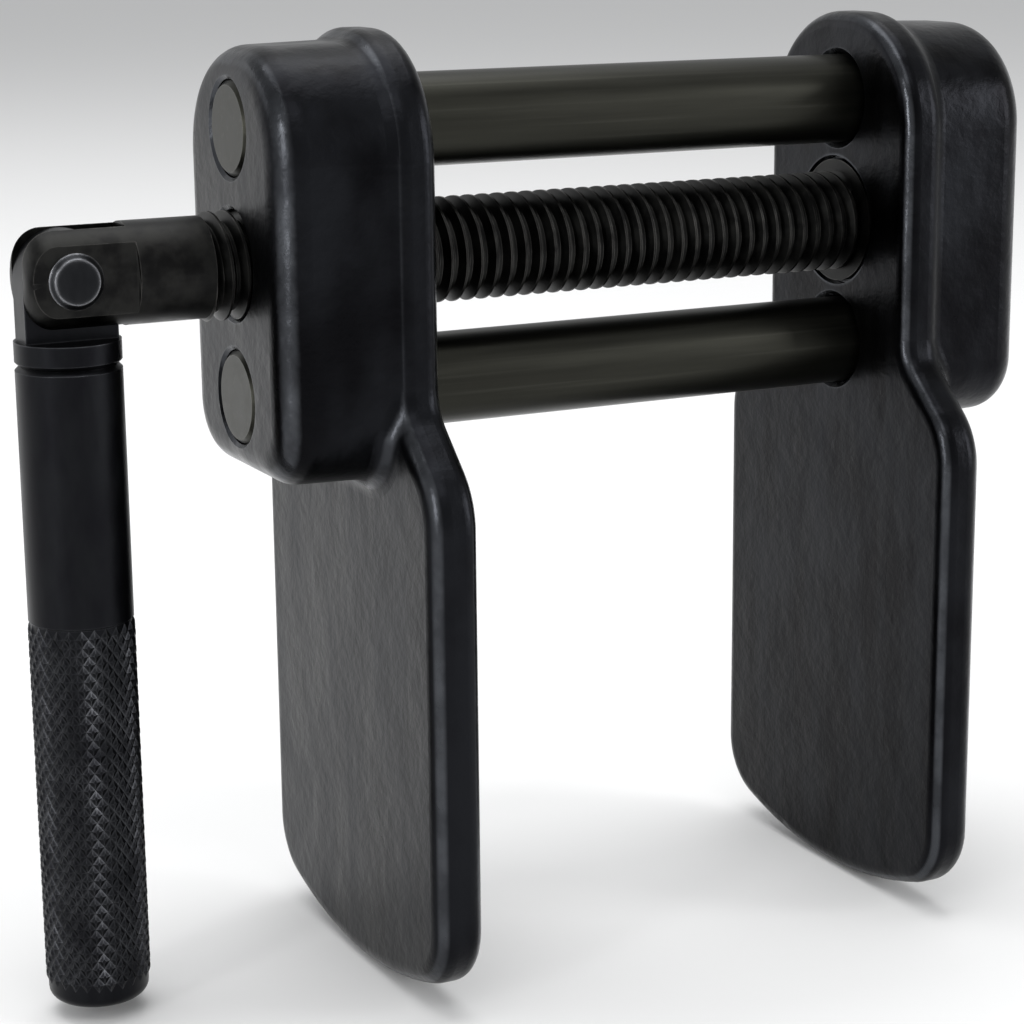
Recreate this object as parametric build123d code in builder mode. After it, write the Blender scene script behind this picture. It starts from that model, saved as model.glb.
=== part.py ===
"""Disc brake pad spreader: two forged jaws on two guide rods, driven by one screw with a fold-down handle.

X runs along the screw from the handle to the far jaw, Y across the jaws and Z up, away from the blades.
The origin is under the middle of the whole tool, level with its lowest point, with the jaws open.
"""

import os
from math import radians, tan

from build123d import *

os.makedirs("parts", exist_ok=True)

# ---- screw thread (mm), right-handed, as a plain cylinder over its crests ----
thread_pitch = 25.4 / 13  # half inch, 13 threads per inch
thread_major_r = 6.30
thread_play = 0.10  # radial, in the near jaw
thread_runout = 2 * thread_pitch  # thread left outside the near jaw

# ---- guide rods ----
rod_r = 11.11 / 2
rod_spacing = 31.1  # centre to centre
rod_fit = 0.05  # radial running clearance in the near jaw
rod_chamfer = 0.6
rod_end_gap = 0.4  # far end of each rod below the far jaw's outer face

# ---- forged jaws ----
jaw_gap = 63.5  # between the inner faces of the blades
plate_depth = 6.0
plate_half_width = 16.0  # beside the screw
plate_top = 26.4  # above the screw
plate_top_r = 14.4
plate_inner_round = 2.0
plate_outer_round = 2.5
neck_high = 15.9  # below the screw, where the plate starts to widen
neck_low = 24.5
neck_hollow_r = 5.0
neck_shoulder_r = 9.5
blade_half_width = 25.5
blade_drop = 87.7  # from the screw to the bottom of the blade
blade_sag = 5.6  # how far the bottom edge bows
blade_corner_r = 8.5
block_depth = 19.2  # inner face of the blade to the outer face of the block
block_half_width = 15.3
block_top = 25.1
block_top_r = 13.0
block_bottom = 25.1  # below the screw
block_bottom_r = 7.8
block_round = 4.0
block_draft = 1.5  # degrees
foot_fillet = 2.5
hole_chamfer = 0.8

# ---- screw ends ----
shaft_r = 5.9
pivot_reach = 19.9  # outer face of the near jaw to the handle's pivot
flat_reach = 7.0  # pivot to the end of the flats on the shaft
fork_reach = 5.4  # pivot to the rounded end of the fork
fork_end_round = 3.4
fork_flat = 4.35  # middle plane to each flat
fork_slot = 4.2
slot_reach = 6.6  # pivot to the floor of the slot
collar_r = 7.8
collar_depth = 1.5
journal_r = 9.5 / 2
journal_fit = 0.05
screw_end_gap = 1.0  # end of the journal below the far jaw's outer face
end_chamfer = 0.5

# ---- thrust and retaining parts in the far jaw ----
seat_r = 8.3
seat_play = 0.1  # around and over the parts in the seats
thrust_depth = 2.0
seat_depth = thrust_depth + collar_depth + seat_play
pocket_depth = 5.0
retainer_r = 7.6
retainer_depth = 1.6
clip_depth = 1.2
clip_outer_r = 6.3
clip_groove_r = 4.1
clip_gap = 50.0  # degrees left open
clip_lug_r = 1.3
clip_lug_reach = 5.9  # from the screw's axis to the middle of each lug
clip_lug_spread = 75.0  # degrees between the lugs
clip_eye_r = 0.6

# ---- handle ----
pin_r = 6.35 / 2
pin_fit = 0.05
pin_proud = 0.8
pin_chamfer = 0.6
tongue_thick = 4.0
tongue_round = 5.4  # around the pivot
shoulder_drop = 7.0  # pivot to the top of the round head
collar_drop = 9.8  # pivot to the joint between head and grip
joint_chamfer = 0.5
spigot_r = 3.6
spigot_drop = 24.0
socket_drop = 24.6
grip_r = 6.05
grip_drop = 85.7  # pivot to the end of the grip
knurl_drop = 39.5  # pivot to the start of the knurling
knurl_r = 6.15
grip_end_round = 1.4

# ---- places along X and up Z ----
overall = knurl_r + pivot_reach + block_depth + jaw_gap + block_depth
far_outer = overall / 2
far_inner = far_outer - block_depth
near_inner = far_inner - jaw_gap
near_outer = near_inner - block_depth
pivot_x = near_outer - pivot_reach
thread_start = near_outer - thread_runout
thread_end = far_inner + seat_play
journal_start = thread_end + collar_depth
pocket_floor = far_outer - pocket_depth
screw_z = blade_drop
rod_heights = (rod_spacing / 2, -rod_spacing / 2)

along_x = Axis((0, 0, 0), (1, 0, 0))


def across(x, out=1):
    """Plane square to the screw at x, centred on it, with Z up and its normal along +X or -X."""
    return Plane(origin=(x, 0, screw_z), x_dir=(0, out, 0), z_dir=(out, 0, 0))


def upright(z):
    """Level plane below or above the screw by z, centred on the handle."""
    return Plane(origin=(pivot_x, 0, screw_z + z), z_dir=(0, 0, 1))


# ---- shared shapes ----
def corners_at(height):
    """The outline's corners at one height."""
    return vertices().filter_by_position(Axis.Y, height - 0.1, height + 0.1)


def forging(inner_x, out):
    """One jaw before machining, its blade's inner face at inner_x and its block on the side out."""
    outward = Axis((inner_x, 0, 0), (out, 0, 0))
    tip = blade_sag - blade_drop
    seam_x = inner_x + out * plate_depth
    foot_span = (screw_z - block_bottom - 1, screw_z - block_bottom + block_bottom_r)
    foot_reach = (-block_half_width, block_half_width)
    with BuildPart() as blank:
        with BuildSketch(across(inner_x, out)):
            with BuildLine():
                Polyline(
                    (-blade_half_width, tip),
                    (-blade_half_width, -neck_low),
                    (-plate_half_width, -neck_high),
                    (-plate_half_width, plate_top),
                    (plate_half_width, plate_top),
                    (plate_half_width, -neck_high),
                    (blade_half_width, -neck_low),
                    (blade_half_width, tip),
                )
                ThreePointArc((blade_half_width, tip), (0, -blade_drop), (-blade_half_width, tip))
            make_face()
            fillet(corners_at(plate_top), radius=plate_top_r)
            fillet(corners_at(-neck_high), radius=neck_hollow_r)
            fillet(corners_at(-neck_low), radius=neck_shoulder_r)
            fillet(corners_at(tip), radius=blade_corner_r)
        extrude(amount=plate_depth)
        fillet(faces().sort_by(outward)[0].edges(), radius=plate_inner_round)
        fillet(faces().sort_by(outward)[-1].edges(), radius=plate_outer_round)
        with BuildSketch(across(inner_x + out * plate_depth / 2, out)):
            with Locations((0, (block_top - block_bottom) / 2)):
                Rectangle(2 * block_half_width, block_top + block_bottom)
            fillet(corners_at(block_top), radius=block_top_r)
            fillet(corners_at(-block_bottom), radius=block_bottom_r)
        extrude(amount=block_depth - plate_depth / 2, taper=block_draft)
        fillet(faces().sort_by(outward)[-1].edges(), radius=block_round)
        seam = edges().filter_by_position(Axis.X, seam_x - 0.01, seam_x + 0.01)
        fillet(seam.filter_by_position(Axis.Z, *foot_span).filter_by_position(Axis.Y, *foot_reach), foot_fillet)
    return blank.part


def rod_holes(x, radius):
    """Both guide rods' holes, drilled right through from x."""
    with Locations(*[(x, 0, screw_z + height) for height in rod_heights]):
        Cylinder(radius, 3 * block_depth, rotation=(0, 90, 0), mode=Mode.SUBTRACT)


def hole_rims(jaw, x, largest):
    """The round edges of the jaw's holes in the flat face at x, up to the radius largest."""
    rims = jaw.edges().filter_by(GeomType.CIRCLE).filter_by_position(Axis.X, x - 0.01, x + 0.01)
    return [rim for rim in rims if rim.radius < largest]


# ---- far jaw: holds both rods and carries the end of the screw ----
with BuildPart() as far_jaw:
    add(forging(far_inner, 1))
    rod_holes(far_inner, rod_r)
    with BuildSketch(across(far_inner)):
        Circle(journal_r + journal_fit)
    extrude(amount=block_depth, mode=Mode.SUBTRACT)
    with BuildSketch(across(far_inner)):
        Circle(seat_r)
    extrude(amount=seat_depth, mode=Mode.SUBTRACT)
    with BuildSketch(across(pocket_floor)):
        Circle(seat_r)
    extrude(amount=pocket_depth, mode=Mode.SUBTRACT)
    chamfer(hole_rims(far_jaw, far_inner, rod_r + 1), length=hole_chamfer)
    chamfer(hole_rims(far_jaw, far_outer, seat_r + 1), length=hole_chamfer / 2)
far_jaw.part.label = "far_jaw"
export_step(far_jaw.part, "parts/far_jaw.step")

# ---- near jaw: slides on the rods and carries the screw's nut thread ----
bore_r = thread_major_r + thread_play
with BuildPart() as near_jaw:
    add(forging(near_inner, -1))
    rod_holes(near_inner, rod_r + rod_fit)
    with BuildSketch(across(near_outer)):
        Circle(bore_r)
    extrude(amount=block_depth, mode=Mode.SUBTRACT)
    for face_x in (near_inner, near_outer):
        chamfer(hole_rims(near_jaw, face_x, bore_r + 0.1), length=hole_chamfer / 2)
near_jaw.part.label = "near_jaw"
export_step(near_jaw.part, "parts/near_jaw.step")

# ---- guide rods: pressed into the far jaw, running in the near jaw ----
for rod_name, rod_height in zip(("upper_guide_rod", "lower_guide_rod"), rod_heights):
    rod_plane = Plane(origin=(near_outer, 0, screw_z + rod_height), x_dir=(0, 1, 0), z_dir=(1, 0, 0))
    with BuildPart() as rod:
        with BuildSketch(rod_plane):
            Circle(rod_r)
        extrude(amount=far_outer - rod_end_gap - near_outer)
        chamfer(edges(), length=rod_chamfer)
    rod.part.label = rod_name
    export_step(rod.part, f"parts/{rod_name}.step")

# ---- lead screw: fork, shaft, thread, thrust collar and journal in one piece ----
fork_start = pivot_x - fork_reach
with BuildPart() as lead_screw:
    with BuildSketch(across(fork_start)):
        Circle(shaft_r)
    extrude(amount=thread_start - fork_start)
    fillet(faces().sort_by(along_x)[0].edges(), radius=fork_end_round)
    with BuildSketch(across(fork_start)):
        with Locations((fork_flat + shaft_r / 2, 0), (-fork_flat - shaft_r / 2, 0)):
            Rectangle(shaft_r, 2 * shaft_r)
    extrude(amount=fork_reach + flat_reach, mode=Mode.SUBTRACT)
    with BuildSketch(across(fork_start)):
        Rectangle(fork_slot, 2 * shaft_r)
    extrude(amount=fork_reach + slot_reach, mode=Mode.SUBTRACT)
    with BuildSketch(Plane(origin=(pivot_x, 0, screw_z), x_dir=(1, 0, 0), z_dir=(0, -1, 0))):
        Circle(pin_r)
    extrude(amount=shaft_r, both=True, mode=Mode.SUBTRACT)
    with BuildSketch(across(thread_start)):
        Circle(thread_major_r)
    extrude(amount=thread_end - thread_start)
    with BuildSketch(across(thread_end)):
        Circle(collar_r)
    extrude(amount=collar_depth)
    with BuildSketch(across(journal_start)):
        Circle(journal_r)
    extrude(amount=far_outer - screw_end_gap - journal_start)
    chamfer(faces().sort_by(along_x)[-1].edges(), length=end_chamfer)
    with BuildSketch(across(pocket_floor + retainer_depth + seat_play)):
        Circle(journal_r)
        Circle(clip_groove_r, mode=Mode.SUBTRACT)
    extrude(amount=clip_depth, mode=Mode.SUBTRACT)
lead_screw.part.label = "lead_screw"
export_step(lead_screw.part, "parts/lead_screw.step")

# ---- thrust washer between the screw's collar and the far jaw ----
with BuildPart() as thrust_washer:
    with BuildSketch(across(far_inner + seat_depth - thrust_depth)):
        Circle(seat_r - seat_play)
        Circle(journal_r + journal_fit, mode=Mode.SUBTRACT)
    extrude(amount=thrust_depth)
thrust_washer.part.label = "thrust_washer"
export_step(thrust_washer.part, "parts/thrust_washer.step")

# ---- washer and clip that keep the screw in the far jaw ----
with BuildPart() as retaining_washer:
    with BuildSketch(across(pocket_floor)):
        Circle(retainer_r)
        Circle(journal_r + journal_fit, mode=Mode.SUBTRACT)
    extrude(amount=retainer_depth)
retaining_washer.part.label = "retaining_washer"
export_step(retaining_washer.part, "parts/retaining_washer.step")

with BuildPart() as retaining_clip:
    with BuildSketch(across(pocket_floor + retainer_depth + seat_play)):
        Circle(clip_outer_r)
        Circle(clip_groove_r, mode=Mode.SUBTRACT)
        with BuildLine():
            Polyline(
                (0, 0),
                (2 * clip_outer_r * tan(radians(clip_gap / 2)), 2 * clip_outer_r),
                (-2 * clip_outer_r * tan(radians(clip_gap / 2)), 2 * clip_outer_r),
                close=True,
            )
        make_face(mode=Mode.SUBTRACT)
        with PolarLocations(clip_lug_reach, 2, 90 - clip_lug_spread / 2, clip_lug_spread, endpoint=True):
            Circle(clip_lug_r)
            Circle(clip_eye_r, mode=Mode.SUBTRACT)
    extrude(amount=clip_depth)
retaining_clip.part.label = "retaining_clip"
export_step(retaining_clip.part, "parts/retaining_clip.step")

# ---- head of the handle: tongue in the screw's fork, round shoulder and spigot ----
with BuildPart() as handle_head:
    with BuildSketch(Plane(origin=(pivot_x, 0, screw_z), x_dir=(1, 0, 0), z_dir=(0, -1, 0))):
        Circle(tongue_round)
        with Locations((0, -shoulder_drop / 2)):
            Rectangle(2 * tongue_round, shoulder_drop)
        Circle(pin_r + pin_fit, mode=Mode.SUBTRACT)
    extrude(amount=tongue_thick / 2, both=True)
    with BuildSketch(upright(-shoulder_drop)):
        Circle(grip_r)
    extrude(amount=-(collar_drop - shoulder_drop))
    chamfer(faces().sort_by(Axis.Z)[0].edges(), length=joint_chamfer)
    with BuildSketch(upright(-collar_drop)):
        Circle(spigot_r)
    extrude(amount=-(spigot_drop - collar_drop))
    chamfer(faces().sort_by(Axis.Z)[0].edges(), length=joint_chamfer)
handle_head.part.label = "handle_head"
export_step(handle_head.part, "parts/handle_head.step")

# ---- grip: plain bar above, knurled part below ----
with BuildPart() as handle_grip:
    with BuildSketch(upright(-collar_drop)):
        Circle(grip_r)
    extrude(amount=-(knurl_drop - collar_drop))
    chamfer(faces().sort_by(Axis.Z)[-1].edges(), length=joint_chamfer)
    with BuildSketch(upright(-knurl_drop)):
        Circle(knurl_r)
    extrude(amount=-(grip_drop - knurl_drop))
    fillet(faces().sort_by(Axis.Z)[0].edges(), radius=grip_end_round)
    with BuildSketch(upright(-collar_drop)):
        Circle(spigot_r)
    extrude(amount=-(socket_drop - collar_drop), mode=Mode.SUBTRACT)
handle_grip.part.label = "handle_grip"
export_step(handle_grip.part, "parts/handle_grip.step")

# ---- pivot pin: pressed in the screw's fork, running in the handle's tongue ----
pin_half = fork_flat + pin_proud
with BuildPart() as pivot_pin:
    with BuildSketch(Plane(origin=(pivot_x, 0, screw_z), x_dir=(1, 0, 0), z_dir=(0, -1, 0))):
        Circle(pin_r)
    extrude(amount=pin_half, both=True)
    chamfer(edges().filter_by(GeomType.CIRCLE), length=pin_chamfer)
pivot_pin.part.label = "pivot_pin"
export_step(pivot_pin.part, "parts/pivot_pin.step")
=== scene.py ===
# %% [markdown]
# # A disc brake pad spreader
# The tool is two forged steel jaws on two ground guide rods. A screw between the rods is turned by a
# knurled handle that hangs in the fork at the screw's end, and it drives the near jaw along the rods. The
# solids come from the CAD model, which also holds the joints, so nothing here moves or resizes them. This
# lesson gives each of them the finish it has on the real tool, rolls the knurl of the grip, winds the thread
# of the screw and lights the tool on a pale floor.

from math import acos, cos, degrees, pi, radians, sin, tan

import bmesh
import bpy
from mathutils import Matrix, Vector


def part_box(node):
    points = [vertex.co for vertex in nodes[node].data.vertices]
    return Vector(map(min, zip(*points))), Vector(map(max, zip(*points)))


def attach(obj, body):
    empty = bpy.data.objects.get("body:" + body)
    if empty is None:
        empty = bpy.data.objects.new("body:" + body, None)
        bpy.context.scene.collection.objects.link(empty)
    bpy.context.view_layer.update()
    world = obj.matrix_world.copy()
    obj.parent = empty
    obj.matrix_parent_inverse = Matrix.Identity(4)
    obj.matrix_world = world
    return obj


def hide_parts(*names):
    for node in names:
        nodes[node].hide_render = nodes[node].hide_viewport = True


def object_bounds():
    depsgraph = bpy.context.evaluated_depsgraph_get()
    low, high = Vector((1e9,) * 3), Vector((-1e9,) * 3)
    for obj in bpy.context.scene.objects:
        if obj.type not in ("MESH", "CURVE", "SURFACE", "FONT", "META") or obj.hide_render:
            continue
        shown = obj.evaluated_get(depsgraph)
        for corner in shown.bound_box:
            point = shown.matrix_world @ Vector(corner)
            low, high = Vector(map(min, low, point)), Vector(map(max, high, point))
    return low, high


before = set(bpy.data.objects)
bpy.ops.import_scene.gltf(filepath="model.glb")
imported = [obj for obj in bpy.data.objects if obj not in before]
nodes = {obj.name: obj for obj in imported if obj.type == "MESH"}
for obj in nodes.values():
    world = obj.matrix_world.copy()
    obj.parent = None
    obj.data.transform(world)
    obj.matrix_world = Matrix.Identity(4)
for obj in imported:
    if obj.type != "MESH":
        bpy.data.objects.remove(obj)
cad_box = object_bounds()
MM = 0.001
print("pieces from the CAD model:", ", ".join(sorted(nodes)))
print("size in mm:", [round((high - low) / MM, 1) for low, high in zip(*cad_box)])

# %% [markdown]
# ## Small helpers for materials
# Every finish here is a tree of nodes, so two helpers save most of the typing. One turns a colour as a
# painter writes it, in sRGB hex, to the linear light that the shader works in. The other adds any node,
# with its settings, and either fills each input with a value or links it to another node's output.

# %% Colours and nodes
def linear(code):
    """An sRGB colour such as 3a3b3f as linear red, green, blue and alpha."""
    parts = [int(code[place:place + 2], 16) / 255 for place in (0, 2, 4)]
    return tuple(p / 12.92 if p <= 0.04045 else ((p + 0.055) / 1.055) ** 2.4 for p in parts) + (1.0,)


def add(tree, kind, settings=None, inputs=None):
    """A new node of this kind in the tree, its inputs filled with values or linked to outputs."""
    made = tree.nodes.new(kind)
    for name, value in (settings or {}).items():
        setattr(made, name, value)
    for name, value in (inputs or {}).items():
        if isinstance(value, bpy.types.NodeSocket):
            tree.links.new(value, made.inputs[name])
        else:
            made.inputs[name].default_value = value
    return made


print("mid grey in linear light:", [round(v, 3) for v in linear("808080")])

# %% [markdown]
# ## Patterns on the metal
# A turned, ground or forged surface differs mostly in the shape of its marks, so one helper draws a noise
# whose grains have a real length along each axis, in millimetres. Long grains along an axis are streaks.
# A second helper spreads the noise's middle values over the full range, which makes clear patches of it.
# Two more add a step of arithmetic and blend two colours.

# %% Grains and patches
def grains(tree, coords, size, detail=3.0, rough=0.55):
    """Noise with grains of the given lengths in mm along X, Y and Z, from 0 to 1."""
    stretch = add(tree, "ShaderNodeMapping", {"vector_type": "POINT"},
                  {"Vector": coords.outputs["Object"], "Scale": tuple(1 / (length * MM) for length in size)})
    noise = add(tree, "ShaderNodeTexNoise", None,
                {"Vector": stretch.outputs["Vector"], "Scale": 1.0, "Detail": detail, "Roughness": rough})
    return noise.outputs["Fac"]


def spread(tree, value, low, high, bottom=0.0, top=1.0):
    """The value's range from low to high, spread smoothly from bottom to top and cut off past them."""
    ramp = add(tree, "ShaderNodeMapRange", {"interpolation_type": "SMOOTHSTEP"},
               {"Value": value, "From Min": low, "From Max": high, "To Min": bottom, "To Max": top})
    return ramp.outputs["Result"]


def maths(tree, operation, first, second=0.0, third=0.0):
    """One step of arithmetic."""
    step = add(tree, "ShaderNodeMath", {"operation": operation}, {0: first, 1: second, 2: third})
    return step.outputs["Value"]


def blend_colour(tree, amount, first, second):
    """The first colour turning to the second as the amount goes from 0 to 1."""
    mix = add(tree, "ShaderNodeMix", {"data_type": "RGBA"}, {0: amount, 6: first, 7: second})
    return mix.outputs[2]


# %% [markdown]
# ## Where the finish wears
# Hands and other tools rub the black finish off the edges first. A sharp edge is found by comparing the
# true normal with one that is averaged over a small radius, as the Bevel node does: their dot product is 1
# on a flat face and falls at an edge. A wide forged rounding has no sharp edge, so there the normal itself
# tells: half way round it leans 45 degrees from the screw's axis, which is X. The lighter colour that these
# masks give the jaws' roundings is partly rubbed wear and partly a painted highlight, and on the pin's bevel
# it is a painted highlight.

# %% Masks for edges and roundings
FLAT_FACE = 0.995
WORN_EDGE = 0.90
BEVEL_RAYS = 8


def sharp_edges(tree, radius_mm):
    """1 on sharp edges, falling to 0 a radius away."""
    soft = add(tree, "ShaderNodeBevel", {"samples": BEVEL_RAYS}, {"Radius": radius_mm * MM})
    true = add(tree, "ShaderNodeNewGeometry")
    same = add(tree, "ShaderNodeVectorMath", {"operation": "DOT_PRODUCT"},
               {0: soft.outputs["Normal"], 1: true.outputs["Normal"]})
    return spread(tree, same.outputs["Value"], FLAT_FACE, WORN_EDGE)


def forged_roundings(tree, coords):
    """1 half way round the roundings between a jaw's flat faces and its sides, 0 on both."""
    lean = add(tree, "ShaderNodeSeparateXYZ", None, {"Vector": coords.outputs["Normal"]})
    square = maths(tree, "MULTIPLY", lean.outputs["X"], lean.outputs["X"])
    rest = maths(tree, "SUBTRACT", 1.0, square)
    peak = maths(tree, "MULTIPLY", maths(tree, "MULTIPLY", square, rest), 4.0)
    return spread(tree, peak, 0.55, 0.98)


print("an edge is fully worn where the two normals lean", round(degrees(acos(WORN_EDGE))), "degrees apart")

# %% [markdown]
# ## The metals
# All the steel of the tool is blackened: it is dipped hot in an alkaline salt bath, which turns its skin to
# black iron oxide a micron thick, and then oiled. What the eye gets is a dark metal whose gloss is that of
# the surface below, so a forging is pebbly, a ground rod is smooth and a turned bar has fine rings. The
# helper below is what the finishes share; each finish then brings its own marks.

# %% What every blackened steel shares
ROUGHER_PATCHES = 0.10
POLISHED_BY_WEAR = 0.10


def blackened(name, dark, light, patches, wear_and_highlight, worn, roughness, marks, marks_depth_mm):
    """A material of blackened steel. patches and marks are noises; the wear mask is rubbed places, and on the
    pin's bevel and the jaws' roundings also a painted highlight.
    """
    material = bpy.data.materials.new(name)
    material.use_nodes = True
    tree = material.node_tree
    tree.nodes.clear()
    coords = add(tree, "ShaderNodeTexCoord")
    cloud = patches(tree, coords)
    rubbed = wear_and_highlight(tree, coords)
    height = marks(tree, coords)
    colour = blend_colour(tree, cloud, linear(dark), linear(light))
    # Where the wear mask is full the colour turns to the worn colour: rubbed wear, and on the pin's bevel and
    # the jaws' roundings also a painted highlight.
    colour = blend_colour(tree, rubbed, colour, linear(worn))
    rough = maths(tree, "MULTIPLY_ADD", cloud, ROUGHER_PATCHES, roughness)
    rough = maths(tree, "SUBTRACT", rough, maths(tree, "MULTIPLY", rubbed, POLISHED_BY_WEAR))
    bump = add(tree, "ShaderNodeBump", None,
               {"Height": height, "Strength": 1.0, "Distance": marks_depth_mm * MM})
    shader = add(tree, "ShaderNodeBsdfPrincipled", None,
                 {"Base Color": colour, "Metallic": 1.0, "Roughness": rough,
                  "Normal": bump.outputs["Normal"]})
    add(tree, "ShaderNodeOutputMaterial", None, {"Surface": shader.outputs["BSDF"]})
    print("finish:", name, "with", len(tree.nodes), "nodes")
    return material


# %% [markdown]
# ### The forged jaws
# Each jaw is drop-forged: a glowing bar is hammered between two dies. Scale that falls off the hot steel
# leaves a skin of shallow pits a millimetre or two wide over slow waves, and shot blasting evens it to a
# fine pebble. The finish is glossier where hands have rubbed the roundings, and the long sides of the
# blades keep faint streaks along the way they slide over brake pads. The roundings are also painted a
# lighter grey, partly as rubbed wear and partly as a painted highlight.

# %% Forged steel
def forged_patches(tree, coords):
    streaks = grains(tree, coords, (9, 4.5, 30), detail=2)
    clouds = grains(tree, coords, (17, 14, 17), detail=4)
    return spread(tree, maths(tree, "ADD", streaks, clouds), 0.75, 1.25)


# Rubbed wear and painted highlight: the roundings and sharp edges blend towards the lighter grey.
def forged_wear_and_painted_highlight(tree, coords):
    edges = maths(tree, "MAXIMUM", forged_roundings(tree, coords), sharp_edges(tree, 0.7))
    broken = spread(tree, grains(tree, coords, (5, 5, 7), detail=4), 0.38, 0.62)
    return maths(tree, "MULTIPLY", edges, maths(tree, "MULTIPLY_ADD", broken, 0.4, 0.4))


def forged_marks(tree, coords):
    pebble = grains(tree, coords, (1.3, 1.3, 1.3), detail=3)
    waves = grains(tree, coords, (8, 8, 8), detail=2)
    return maths(tree, "ADD", maths(tree, "MULTIPLY", waves, 3.0), pebble)


# The grey 4a4c50 on the roundings is partly rubbed wear and partly a painted highlight.
forged_steel = blackened("blackened_forged_steel", "101012", "1e1f22", forged_patches,
                         forged_wear_and_painted_highlight, "4a4c50", 0.27, forged_marks, 0.06)

# %% [markdown]
# ### The guide rods
# The rods are centreless ground, so their marks are fine rings, much finer than a picture can show; they
# are drawn at 0.4 mm. The near jaw rides on oil, and its bores rub long streaks along the rods. The oxide
# on this smooth steel looks a little olive.

# %% Ground steel
def rod_patches(tree, coords):
    return spread(tree, grains(tree, coords, (40, 2.4, 2.4), detail=3), 0.20, 0.85)


def rod_wear(tree, coords):
    rubbed = spread(tree, grains(tree, coords, (60, 0.7, 0.7), detail=2), 0.55, 0.80, 0.0, 0.25)
    return maths(tree, "MAXIMUM", rubbed, maths(tree, "MULTIPLY", sharp_edges(tree, 0.5), 0.8))


def rod_marks(tree, coords):
    return grains(tree, coords, (0.4, 12, 12), detail=2)


ground_steel = blackened("blackened_ground_steel", "2a2a26", "363631", rod_patches,
                         rod_wear, "4f4f49", 0.30, rod_marks, 0.004)

# %% [markdown]
# ### The screw
# The thread is rolled between hard dies and works in the tapped jaw, so its crests are rubbed and its
# grooves hold dark grease. The plain shaft was turned and the fork at its end milled, all before the screw
# was blackened.

# %% Threaded steel
def screw_patches(tree, coords):
    return spread(tree, grains(tree, coords, (3, 3, 3), detail=4), 0.35, 0.65)


def screw_wear(tree, coords):
    crests = sharp_edges(tree, 0.25)
    broken = spread(tree, grains(tree, coords, (2, 2, 2)), 0.3, 0.6)
    return maths(tree, "MULTIPLY", crests, broken)


def screw_marks(tree, coords):
    return grains(tree, coords, (0.35, 6, 6), detail=2)


threaded_steel = blackened("blackened_threaded_steel", "1a1a1a", "282827", screw_patches,
                           screw_wear, "494846", 0.36, screw_marks, 0.006)

# %% [markdown]
# ### The handle
# The head and the grip are turned from round bar, which leaves fine rings all along the handle, drawn here
# every 0.35 mm. The palm rubs the crests of the knurl and the corners of the head.

# %% Turned steel
def handle_patches(tree, coords):
    return spread(tree, grains(tree, coords, (2.5, 2.5, 7), detail=4), 0.15, 0.90)


def handle_wear(tree, coords):
    broken = spread(tree, grains(tree, coords, (3, 3, 4), detail=4), 0.15, 0.80)
    return maths(tree, "MULTIPLY", sharp_edges(tree, 0.35), broken)


def handle_marks(tree, coords):
    return grains(tree, coords, (9, 9, 0.35), detail=2)


turned_steel = blackened("blackened_turned_steel", "17171a", "202123", handle_patches,
                         handle_wear, "47484b", 0.36, handle_marks, 0.006)

# %% [markdown]
# ### The small parts
# The pivot pin's bevel ring is painted bright grey, a painted highlight. The washers are hardened and
# ground, and the clip is stamped from spring steel, so both keep a greyer skin than the big pieces.

# %% Pin, washers and clip
# Painted highlight: the edges of the pin's bevel turn a bright grey.
def pin_bevel_painted_highlight(tree, coords):
    bevel = sharp_edges(tree, 0.9)
    broken = spread(tree, grains(tree, coords, (1.5, 1.5, 1.5)), 0.25, 0.55, 0.6, 1.0)
    return maths(tree, "MULTIPLY", bevel, broken)


# The bright grey 8f9094 on the pin's bevel is a painted highlight.
pin_steel_painted_highlight = blackened("pin_steel_with_painted_highlight", "1c1d1f", "2b2c2e", handle_patches,
                          pin_bevel_painted_highlight, "8f9094", 0.32, screw_patches, 0.010)
washer_steel = blackened("ground_washer_steel", "3b3c3e", "505153", screw_patches,
                         screw_wear, "8a8b8e", 0.28, screw_marks, 0.003)
spring_steel = blackened("phosphated_spring_steel", "26272a", "36373a", screw_patches,
                         screw_wear, "707175", 0.45, forged_marks, 0.01)

# %% [markdown]
# ### Dress the CAD pieces
# Nine pieces keep the mesh of the CAD model, because their shape is all there already, and take their finish
# in their material slots. The grip and the screw follow below.

# %% Give each piece its finish
finishes = {
    "near_jaw": forged_steel,
    "far_jaw": forged_steel,
    "upper_guide_rod": ground_steel,
    "lower_guide_rod": ground_steel,
    "handle_head": turned_steel,
    "pivot_pin": pin_steel_painted_highlight,
    "thrust_washer": washer_steel,
    "retaining_washer": washer_steel,
    "retaining_clip": spring_steel,
}
for node_name, finish in finishes.items():
    slots = nodes[node_name].data.materials
    slots.clear()
    slots.append(finish)
    print(node_name, "is", finish.name)

# %% [markdown]
# ## Small helpers for Geometry Nodes
# The knurl and the thread each follow a rule, so each is a tree of Geometry Nodes that works on the rest of
# its piece. Both trees begin and end alike. The first helper starts a tree with named inputs. The second
# welds what the tree made, joins it to the rest of the piece, makes it real and gives it its finish. The
# third runs a tree as a modifier and keeps the result as a plain mesh. The fourth puts a mesh, a light or the
# camera in the scene.

# %% Begin, end and run a tree
SMOOTH_BELOW = radians(25)


def begin_tree(name, kinds):
    """A tree with inputs of these names and kinds: the tree, its sockets and the outputs that bring them."""
    tree = bpy.data.node_groups.new(name, "GeometryNodeTree")
    sockets = {label: tree.interface.new_socket(label, in_out="INPUT", socket_type="NodeSocket" + kind)
               for label, kind in kinds.items()}
    tree.interface.new_socket("Geometry", in_out="OUTPUT", socket_type="NodeSocketGeometry")
    return tree, sockets, add(tree, "NodeGroupInput").outputs


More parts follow.
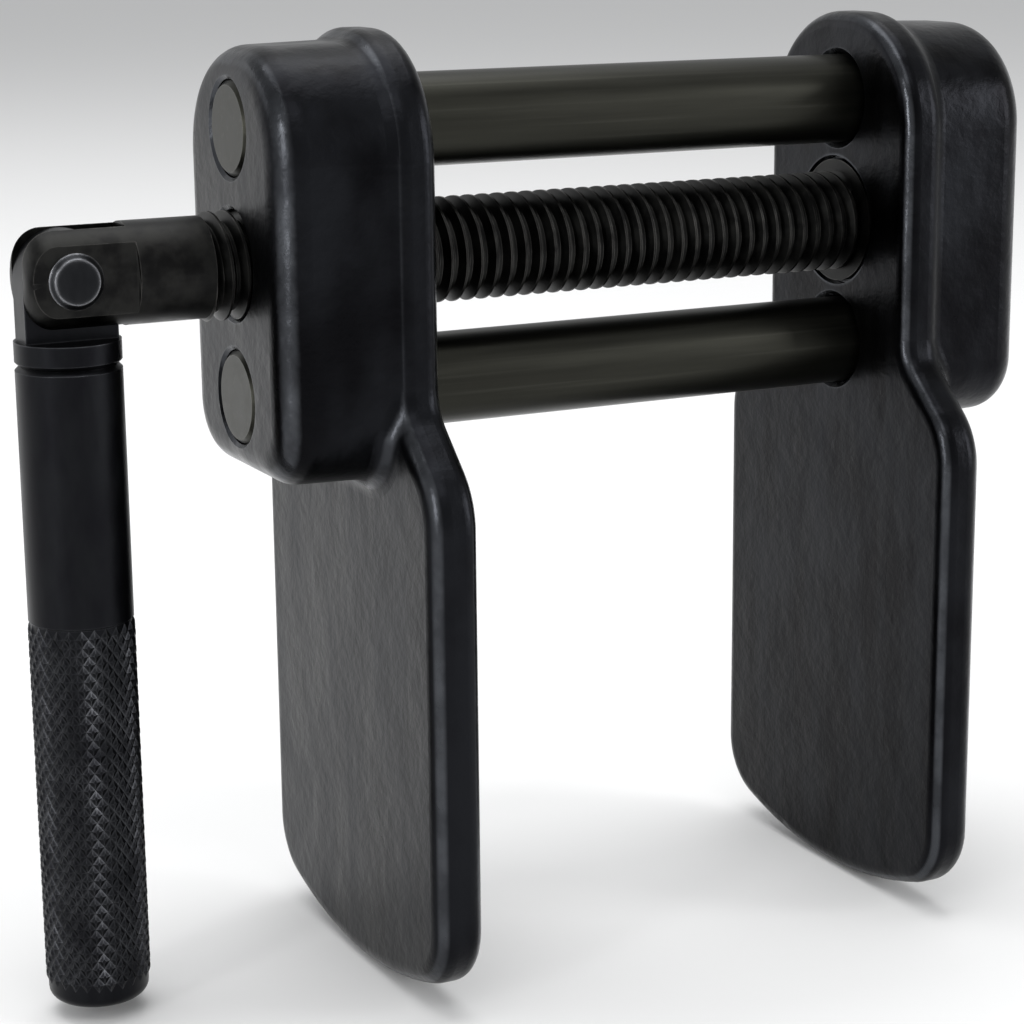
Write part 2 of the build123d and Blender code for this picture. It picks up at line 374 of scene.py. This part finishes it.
def end_tree(tree, made, rest, finish, weld):
    """Weld what was made, join it to the rest of the piece, make it real and give it its finish."""
    welded = add(tree, "GeometryNodeMergeByDistance", None, {"Geometry": made, "Distance": weld})
    whole = add(tree, "GeometryNodeJoinGeometry", None, {"Geometry": welded.outputs["Geometry"]})
    tree.links.new(rest, whole.inputs["Geometry"])
    real = add(tree, "GeometryNodeRealizeInstances", None, {"Geometry": whole.outputs["Geometry"]})
    finished = add(tree, "GeometryNodeSetMaterial", None,
                   {"Geometry": real.outputs["Geometry"], "Material": finish})
    add(tree, "NodeGroupOutput", None, {"Geometry": finished.outputs["Geometry"]})
    print(tree.name, "has", len(tree.nodes), "nodes")


def run_tree(piece, tree, sockets, values):
    """The plain mesh that the tree makes of the piece, with these values in its inputs."""
    modifier = piece.modifiers.new(tree.name, "NODES")
    modifier.node_group = tree
    for label, value in values.items():
        modifier[sockets[label].identifier] = value
    evaluated = piece.evaluated_get(bpy.context.evaluated_depsgraph_get())
    mesh = bpy.data.meshes.new_from_object(evaluated)
    piece.modifiers.remove(modifier)
    return mesh


def on_stage(name, data):
    """An object with this mesh, light or camera as its data, put in the scene."""
    made = bpy.data.objects.new(name, data)
    bpy.context.scene.collection.objects.link(made)
    return made


print("faces that meet at less than", round(degrees(SMOOTH_BELOW)), "degrees are shaded as one")

# %% [markdown]
# ## The grip and its knurl
# The grip is a turned bar with a diamond knurl rolled into its lower part: two wheels with slanted teeth are
# pressed in, and their grooves cross and raise small flat-topped diamonds. A bump map would look flat at
# the edge of the bar, and modelling one diamond and repeating it by hand would take all day. So Geometry
# Nodes lay the diamonds out on a flat sheet, where their corners meet exactly, and then roll the sheet
# around the bar. The bar under it is an outline spun about the handle's axis.

# %% Sizes of the grip
grip_low, grip_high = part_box("handle_grip")
grip_centre = (grip_low + grip_high) / 2
knurl_crest_r = (grip_high.x - grip_low.x) / 2
GROOVE_DEPTH = 0.26 * MM
BAR_R = 6.05 * MM
SPIGOT_R = 3.6 * MM
JOINT_CHAMFER = 0.5 * MM
END_ROUND = 1.4 * MM
KNURL_LENGTH = 46.2 * MM
SOCKET_DEPTH = 14.8 * MM
DIAMOND_WIDTH = 1.5 * MM
DIAMOND_HEIGHT = 2.0 * MM
DIAMOND_TOP = 0.30
KNURL_WELD = 0.004 * MM
around = round(2 * pi * knurl_crest_r / DIAMOND_WIDTH)
rows = int((KNURL_LENGTH - END_ROUND) / DIAMOND_HEIGHT) - 1
knurl_top = grip_low.z + KNURL_LENGTH
print("diamonds around", around, "and along", rows)


# %% The turned bar
def spun(name, outline, centre, steps=96):
    """A solid spun about the upright line through centre from (radius, height) points, first to last."""
    mesh = bpy.data.meshes.new(name)
    shape = bmesh.new()
    rings = []
    for radius, height in outline:
        ring = []
        for step in range(steps):
            spot = Matrix.Rotation(2 * pi * step / steps, 3, "Z") @ Vector((radius, 0, 0))
            ring.append(shape.verts.new((centre.x + spot.x, centre.y + spot.y, height)))
        rings.append(ring)
    for lower, upper in zip(rings, rings[1:]):
        for step in range(steps):
            following = (step + 1) % steps
            shape.faces.new((lower[step], lower[following], upper[following], upper[step]))
    shape.faces.new(reversed(rings[0]))
    shape.faces.new(rings[-1])
    bmesh.ops.recalc_face_normals(shape, faces=shape.faces)
    shape.to_mesh(mesh)
    shape.free()
    return on_stage(name, mesh)


groove_r = knurl_crest_r - GROOVE_DEPTH
rounding = [radians(angle) for angle in range(-90, 1, 15)]
outline = [
    (groove_r - END_ROUND * (1 - cos(angle)), grip_low.z + END_ROUND * (1 + sin(angle)))
    for angle in rounding
] + [
    (groove_r, knurl_top),
    (BAR_R, knurl_top + BAR_R - groove_r),
    (BAR_R, grip_high.z - JOINT_CHAMFER),
    (BAR_R - JOINT_CHAMFER, grip_high.z),
    (SPIGOT_R, grip_high.z),
    (SPIGOT_R, grip_high.z - SOCKET_DEPTH),
]
grip = spun("grip_with_knurl", outline, grip_centre)
print("turned bar:", len(grip.data.polygons), "faces")

# %% A flat sheet of diamonds
knurl, knurl_sockets, given = begin_tree("diamond_knurl", {
    "Bar": "Geometry", "Around": "Int", "Rows": "Int", "Diamond Height": "Float", "Crest Flat": "Float",
    "Groove Radius": "Float", "Groove Depth": "Float", "Middle": "Vector", "Finish": "Material"})
diamond = add(knurl, "GeometryNodeMeshCone", {"fill_type": "NGON"},
              {"Vertices": 4, "Radius Top": given["Crest Flat"], "Radius Bottom": 1.0, "Depth": 1.0})
open_diamond = add(knurl, "GeometryNodeDeleteGeometry", {"domain": "FACE"},
                   {"Geometry": diamond.outputs["Mesh"], "Selection": diamond.outputs["Bottom"]})

# Half a diamond lies between neighbouring points, and an odd count up the sheet makes every second point of
# the grid, in the order it is numbered, the middle of a diamond.
columns = maths(knurl, "MULTIPLY", given["Around"], 2.0)
levels = maths(knurl, "MULTIPLY_ADD", given["Rows"], 2.0, 1.0)
sheet = add(knurl, "GeometryNodeMeshGrid", None,
            {"Size X": maths(knurl, "SUBTRACT", columns, 1.0),
             "Size Y": maths(knurl, "SUBTRACT", levels, 1.0), "Vertices X": columns, "Vertices Y": levels})
number = add(knurl, "GeometryNodeInputIndex").outputs["Index"]
middles = maths(knurl, "COMPARE", maths(knurl, "MODULO", number, 2.0), 0.0, 0.5)
diamonds = add(knurl, "GeometryNodeInstanceOnPoints", None,
               {"Points": sheet.outputs["Mesh"], "Selection": middles,
                "Instance": open_diamond.outputs["Geometry"]})
flat = add(knurl, "GeometryNodeRealizeInstances", None, {"Geometry": diamonds.outputs["Instances"]})
print("sheet of", around * (2 * rows + 1), "diamonds")

# %% Rolling the sheet around the bar
position = add(knurl, "GeometryNodeInputPosition").outputs["Position"]
spot = add(knurl, "ShaderNodeSeparateXYZ", None, {"Vector": position})
angle = maths(knurl, "DIVIDE", maths(knurl, "MULTIPLY", spot.outputs["X"], pi), given["Around"])
raised = maths(knurl, "MULTIPLY", spot.outputs["Z"], given["Groove Depth"])
out = maths(knurl, "ADD", given["Groove Radius"], raised)
up = maths(knurl, "MULTIPLY", spot.outputs["Y"], maths(knurl, "MULTIPLY", given["Diamond Height"], 0.5))
rolled = add(knurl, "ShaderNodeCombineXYZ", None,
             {"X": maths(knurl, "MULTIPLY", out, maths(knurl, "COSINE", angle)),
              "Y": maths(knurl, "MULTIPLY", out, maths(knurl, "SINE", angle)), "Z": up})
placed = add(knurl, "ShaderNodeVectorMath", {"operation": "ADD"},
             {0: rolled.outputs["Vector"], 1: given["Middle"]})
wrapped = add(knurl, "GeometryNodeSetPosition", None,
              {"Geometry": flat.outputs["Geometry"], "Position": placed.outputs["Vector"]})
end_tree(knurl, wrapped.outputs["Geometry"], given["Bar"], given["Finish"], KNURL_WELD)

# %% Roll the knurl and keep it as a plain mesh
middle_z = knurl_top - (rows + 1) * DIAMOND_HEIGHT / 2
knurled = run_tree(grip, knurl, knurl_sockets, {
    "Around": around, "Rows": rows, "Diamond Height": DIAMOND_HEIGHT, "Crest Flat": DIAMOND_TOP,
    "Groove Radius": groove_r, "Groove Depth": GROOVE_DEPTH,
    "Middle": (grip_centre.x, grip_centre.y, middle_z), "Finish": turned_steel})
knurled.shade_smooth()
knurled.set_sharp_from_angle(angle=SMOOTH_BELOW)
grip.data = knurled
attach(grip, "handle")
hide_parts("handle_grip")
print("grip with knurl:", len(knurled.polygons), "faces, out to",
      round(max(v.co.x for v in knurled.vertices) / MM - grip_centre.x / MM, 3), "mm from its axis")

# %% [markdown]
# ## The screw and its thread
# The screw is one turned piece: a slotted fork for the handle, a plain shaft, a long thread, a collar and a
# journal in the far jaw. The CAD model has a plain cylinder over the crests of the thread. A thread follows
# a rule, a ridge that climbs one pitch in each turn, so Geometry Nodes make it: a flat grid whose columns go
# once around and whose rows step through the corners of the ridge, four for each pitch. A Screw modifier
# could wind an outline too, but the grid can press its own ends flat and chamfer its start, so nothing is
# left to cut off. The rest of the screw is a copy of the CAD piece with its plain cylinder taken off.

# %% Sizes of the thread
PITCH = 25.4 / 13 * MM
CREST_FLAT = 0.30 * MM
THREAD_DEPTH = 1.05 * MM
FLANK_WIDTH = THREAD_DEPTH * tan(radians(30))
SHAFT_R = 5.9 * MM
STEPS_IN_TURN = 72
TURNS_OUT_OF_NEAR_JAW = 2
INTO_FAR_JAW = 0.1 * MM
COLLAR_CLEARANCE = 0.5 * MM
THREAD_WELD = 0.002 * MM
FINE_WELD = 0.001 * MM
TOLERANCE = 0.02 * MM
pin_low, pin_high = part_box("pivot_pin")
screw_axis_z = (pin_low.z + pin_high.z) / 2
thread_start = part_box("near_jaw")[0].x - TURNS_OUT_OF_NEAR_JAW * PITCH
thread_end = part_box("far_jaw")[0].x + INTO_FAR_JAW


def off_axis(spot):
    """How far a point is from the screw's axis."""
    return (Vector(spot.yz) - Vector((0, screw_axis_z))).length


plain = nodes["lead_screw"].data
thread_crest_r = max(off_axis(v.co) for v in plain.vertices
                     if thread_start - TOLERANCE < v.co.x < thread_end - COLLAR_CLEARANCE)
turns = (thread_end - thread_start) / PITCH
print("thread of", round(2 * thread_crest_r / MM, 2), "mm with", round(turns, 1), "turns")

# %% Take the plain cylinder off a copy of the CAD piece
shape = bmesh.new()
shape.from_mesh(plain)
bmesh.ops.remove_doubles(shape, verts=shape.verts, dist=FINE_WELD)


def of_plain_cylinder(face):
    """Whether a face lies on the cylinder over the crests, or on the step from it down to the shaft."""
    within = all(thread_start - TOLERANCE < v.co.x < thread_end + TOLERANCE for v in face.verts)
    outside = all(off_axis(v.co) > thread_crest_r - TOLERANCE for v in face.verts)
    step = all(abs(v.co.x - thread_start) < TOLERANCE for v in face.verts)
    return (within and outside and abs(face.normal.x) < 0.5) or step


taken = [face for face in shape.faces if of_plain_cylinder(face)]
bmesh.ops.delete(shape, geom=taken, context="FACES")
open_edges = [edge for edge in shape.edges if len(edge.link_faces) == 1]
bmesh.ops.holes_fill(shape, edges=open_edges, sides=0)
screw_mesh = bpy.data.meshes.new("lead_screw_threaded")
shape.to_mesh(screw_mesh)
shape.free()
print("faces taken off:", len(taken), "open edges closed:", len(open_edges))

# %% The grid of the thread and where each point is in it
thread, thread_sockets, given = begin_tree("screw_thread", {
    "Rest": "Geometry", "Steps": "Int", "Turns": "Int", "Pitch": "Float", "Crest Radius": "Float",
    "Depth": "Float", "Crest": "Float", "Flank": "Float", "Start": "Float", "End": "Float",
    "Axis Height": "Float", "Shaft Radius": "Float", "Finish": "Material"})
along = maths(thread, "ADD", maths(thread, "MULTIPLY", given["Turns"], 4.0), 1.0)
across = maths(thread, "ADD", given["Steps"], 1.0)
grid = add(thread, "GeometryNodeMeshGrid", None,
           {"Size X": 1.0, "Size Y": 1.0, "Vertices X": along, "Vertices Y": across})
number = add(thread, "GeometryNodeInputIndex").outputs["Index"]
row = maths(thread, "FLOOR", maths(thread, "DIVIDE", number, across))
column = maths(thread, "SUBTRACT", number, maths(thread, "MULTIPLY", row, across))
corner = maths(thread, "MODULO", row, 4.0)
part_turn = maths(thread, "DIVIDE", column, given["Steps"])
print("points around the thread:", STEPS_IN_TURN + 1)

# %% Winding the grid into the thread
# Corners 1 and 2 are on the crest. From corner to corner, the ridge is a flank, a crest and a flank wide.
on_crest = maths(thread, "MULTIPLY", maths(thread, "GREATER_THAN", corner, 0.5),
                 maths(thread, "LESS_THAN", corner, 2.5))
first_flank = maths(thread, "MULTIPLY", maths(thread, "GREATER_THAN", corner, 0.5), given["Flank"])
crest = maths(thread, "MULTIPLY", maths(thread, "GREATER_THAN", corner, 1.5), given["Crest"])
last_flank = maths(thread, "MULTIPLY", maths(thread, "GREATER_THAN", corner, 2.5), given["Flank"])
in_ridge = maths(thread, "ADD", first_flank, maths(thread, "ADD", crest, last_flank))
whole_turns = maths(thread, "SUBTRACT", maths(thread, "FLOOR", maths(thread, "DIVIDE", row, 4.0)), 1.0)
climbed = maths(thread, "MULTIPLY", maths(thread, "ADD", whole_turns, part_turn), given["Pitch"])
free_x = maths(thread, "ADD", given["Start"], maths(thread, "ADD", climbed, in_ridge))
place_x = maths(thread, "MINIMUM", maths(thread, "MAXIMUM", free_x, given["Start"]), given["End"])

# The first ridges are turned down to the shaft by a 45 degree chamfer, as a thread's end is.
ridge = maths(thread, "MULTIPLY", maths(thread, "SUBTRACT", 1.0, on_crest), given["Depth"])
full_r = maths(thread, "SUBTRACT", given["Crest Radius"], ridge)
chamfer_r = maths(thread, "ADD", given["Shaft Radius"], maths(thread, "SUBTRACT", place_x, given["Start"]))
thread_r = maths(thread, "MINIMUM", full_r, chamfer_r)
turn = maths(thread, "MULTIPLY", part_turn, 2 * pi)
height = maths(thread, "MULTIPLY", thread_r, maths(thread, "SINE", turn))
winding = add(thread, "ShaderNodeCombineXYZ", None,
              {"X": place_x, "Y": maths(thread, "MULTIPLY", thread_r, maths(thread, "COSINE", turn)),
               "Z": maths(thread, "ADD", given["Axis Height"], height)})
wound = add(thread, "GeometryNodeSetPosition", None,
            {"Geometry": grid.outputs["Mesh"], "Position": winding.outputs["Vector"]})
end_tree(thread, wound.outputs["Geometry"], given["Rest"], given["Finish"], THREAD_WELD)

# %% Wind the thread and keep it as a plain mesh
# The grid has a spare turn before the start and more than one past the end. Both are pressed flat there.
SPARE_TURNS = 3
screw = on_stage("lead_screw_threaded", screw_mesh)
threaded = run_tree(screw, thread, thread_sockets, {
    "Steps": STEPS_IN_TURN, "Turns": int(turns) + SPARE_TURNS, "Pitch": PITCH,
    "Crest Radius": thread_crest_r, "Depth": THREAD_DEPTH, "Crest": CREST_FLAT, "Flank": FLANK_WIDTH,
    "Start": thread_start, "End": thread_end, "Axis Height": screw_axis_z, "Shaft Radius": SHAFT_R,
    "Finish": threaded_steel})
shape = bmesh.new()
shape.from_mesh(threaded)
ends = [edge for edge in shape.edges if len(edge.link_faces) == 1]
bmesh.ops.holes_fill(shape, edges=ends, sides=0)
bmesh.ops.dissolve_degenerate(shape, edges=shape.edges, dist=FINE_WELD)
bmesh.ops.recalc_face_normals(shape, faces=shape.faces)
shape.to_mesh(threaded)
shape.free()
threaded.shade_smooth()
threaded.set_sharp_from_angle(angle=SMOOTH_BELOW)
screw.data = threaded
print("threaded screw:", len(threaded.polygons), "faces")

# %% [markdown]
# The long thin triangles of the turned shaft would shade in streaks, because each corner's normal is the
# average of the faces around it. So the corners on the shaft get the true normal of a cylinder, straight out
# from the axis. A face that looks along the screw is a shoulder and keeps its own.

# %% True normals on the plain shaft
SHOULDER_LEAN = 0.1


def on_shaft(face, spots):
    """Whether a face lies on the plain shaft."""
    at_its_radius = all(abs(off_axis(spot) - SHAFT_R) < TOLERANCE for spot in spots)
    return at_its_radius and abs(face.normal.x) < SHOULDER_LEAN


normals = [corner.vector.copy() for corner in threaded.corner_normals]
smoothed = 0
for face in threaded.polygons:
    spots = [threaded.vertices[number].co for number in face.vertices]
    if on_shaft(face, spots):
        smoothed += 1
        for corner, spot in zip(face.loop_indices, spots):
            normals[corner] = (spot - Vector((spot.x, 0, screw_axis_z))).normalized()
threaded.normals_split_custom_set(normals)
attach(screw, "screw")
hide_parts("lead_screw")
print("faces of the shaft with true normals:", smoothed)

# %% [markdown]
# ## Floor, light and camera
# A dark metal shows what it mirrors. The front faces look at a dim room and stay nearly black, the faces
# turned to the left look at a big white panel and come out mid grey, and a panel overhead draws the
# highlights along the rods and the rounded tops. The floor is a plain pale disc that runs far back, and the
# even light of the room is the background above it.

# %% Floor
FLOOR_R = 6.0
UNDER_THE_TOOL = 0.05 * MM
floor_mesh = bpy.data.meshes.new("floor")
shape = bmesh.new()
bmesh.ops.create_circle(shape, cap_ends=True, segments=96, radius=FLOOR_R,
                        matrix=Matrix.Translation((0, 0, cad_box[0][2] - UNDER_THE_TOOL)))
shape.to_mesh(floor_mesh)
shape.free()
floor = on_stage("floor", floor_mesh)
paper = bpy.data.materials.new("pale_floor_paper")
paper.use_nodes = True
paper_shader = paper.node_tree.nodes["Principled BSDF"]
paper_shader.inputs["Base Color"].default_value = linear("e9e9e9")
paper_shader.inputs["Roughness"].default_value = 0.9
floor.data.materials.append(paper)
print("floor of", FLOOR_R, "m round the tool")


# %% Studio light
def panel(name, place, target, size, brightness):
    """A soft square panel that faces the target. Its brightness is what a mirror in it would show."""
    light = bpy.data.lights.new(name, "AREA")
    light.shape = "RECTANGLE"
    light.size, light.size_y = size
    light.energy = brightness * pi * size[0] * size[1]
    made = on_stage(name, light)
    made.location = place
    made.rotation_euler = (Vector(place) - Vector(target)).to_track_quat("Z", "Y").to_euler()
    print(name, "with", round(light.energy, 1), "W")


ROOM_LIGHT = 0.62
middle = (0, 0, 60 * MM)
panel("left_panel", (-1.0, 0.9, 0.45), middle, (1.3, 0.9), 1.25)
panel("overhead_panel", (0.0, 0.15, 1.1), middle, (1.0, 0.9), 3.0)
panel("front_panel", (-0.3, -0.8, 1.15), middle, (1.0, 0.35), 2.4)
panel("edge_strip", (-1.1, -0.55, 0.35), middle, (0.16, 0.8), 9.0)
panel("right_panel", (1.15, -0.88, 0.45), middle, (0.4, 0.9), 8.0)
world = bpy.data.worlds.new("studio_room")
bpy.context.scene.world = world
world.use_nodes = True
background = world.node_tree.nodes["Background"]
background.inputs["Color"].default_value = linear("f4f5f6")
background.inputs["Strength"].default_value = ROOM_LIGHT
bpy.context.scene.view_settings.view_transform = "Standard"

# %% Camera
# Azimuth turns about the upright axis from the front, elevation looks down from level, and the camera is
# held half a degree off level.
AZIMUTH = -26.632
ELEVATION = 13.278
LEAN = -0.5585
LENS = 91.21
SENSOR = 36
STANDS_AT = Vector((-142.62, -280.13, 128.28)) * MM
camera_data = bpy.data.cameras.new("camera")
camera_data.sensor_width = SENSOR
camera_data.lens = LENS
camera_data.clip_start = 10 * MM
camera = on_stage("camera", camera_data)
turned = Matrix.Rotation(radians(AZIMUTH), 4, "Z") @ Matrix.Rotation(radians(90 - ELEVATION), 4, "X")
camera.matrix_world = Matrix.Translation(STANDS_AT) @ turned @ Matrix.Rotation(radians(LEAN), 4, "Z")
bpy.context.scene.camera = camera
print("the camera stands", round(STANDS_AT.length / MM), "mm from the middle of the tool's foot")
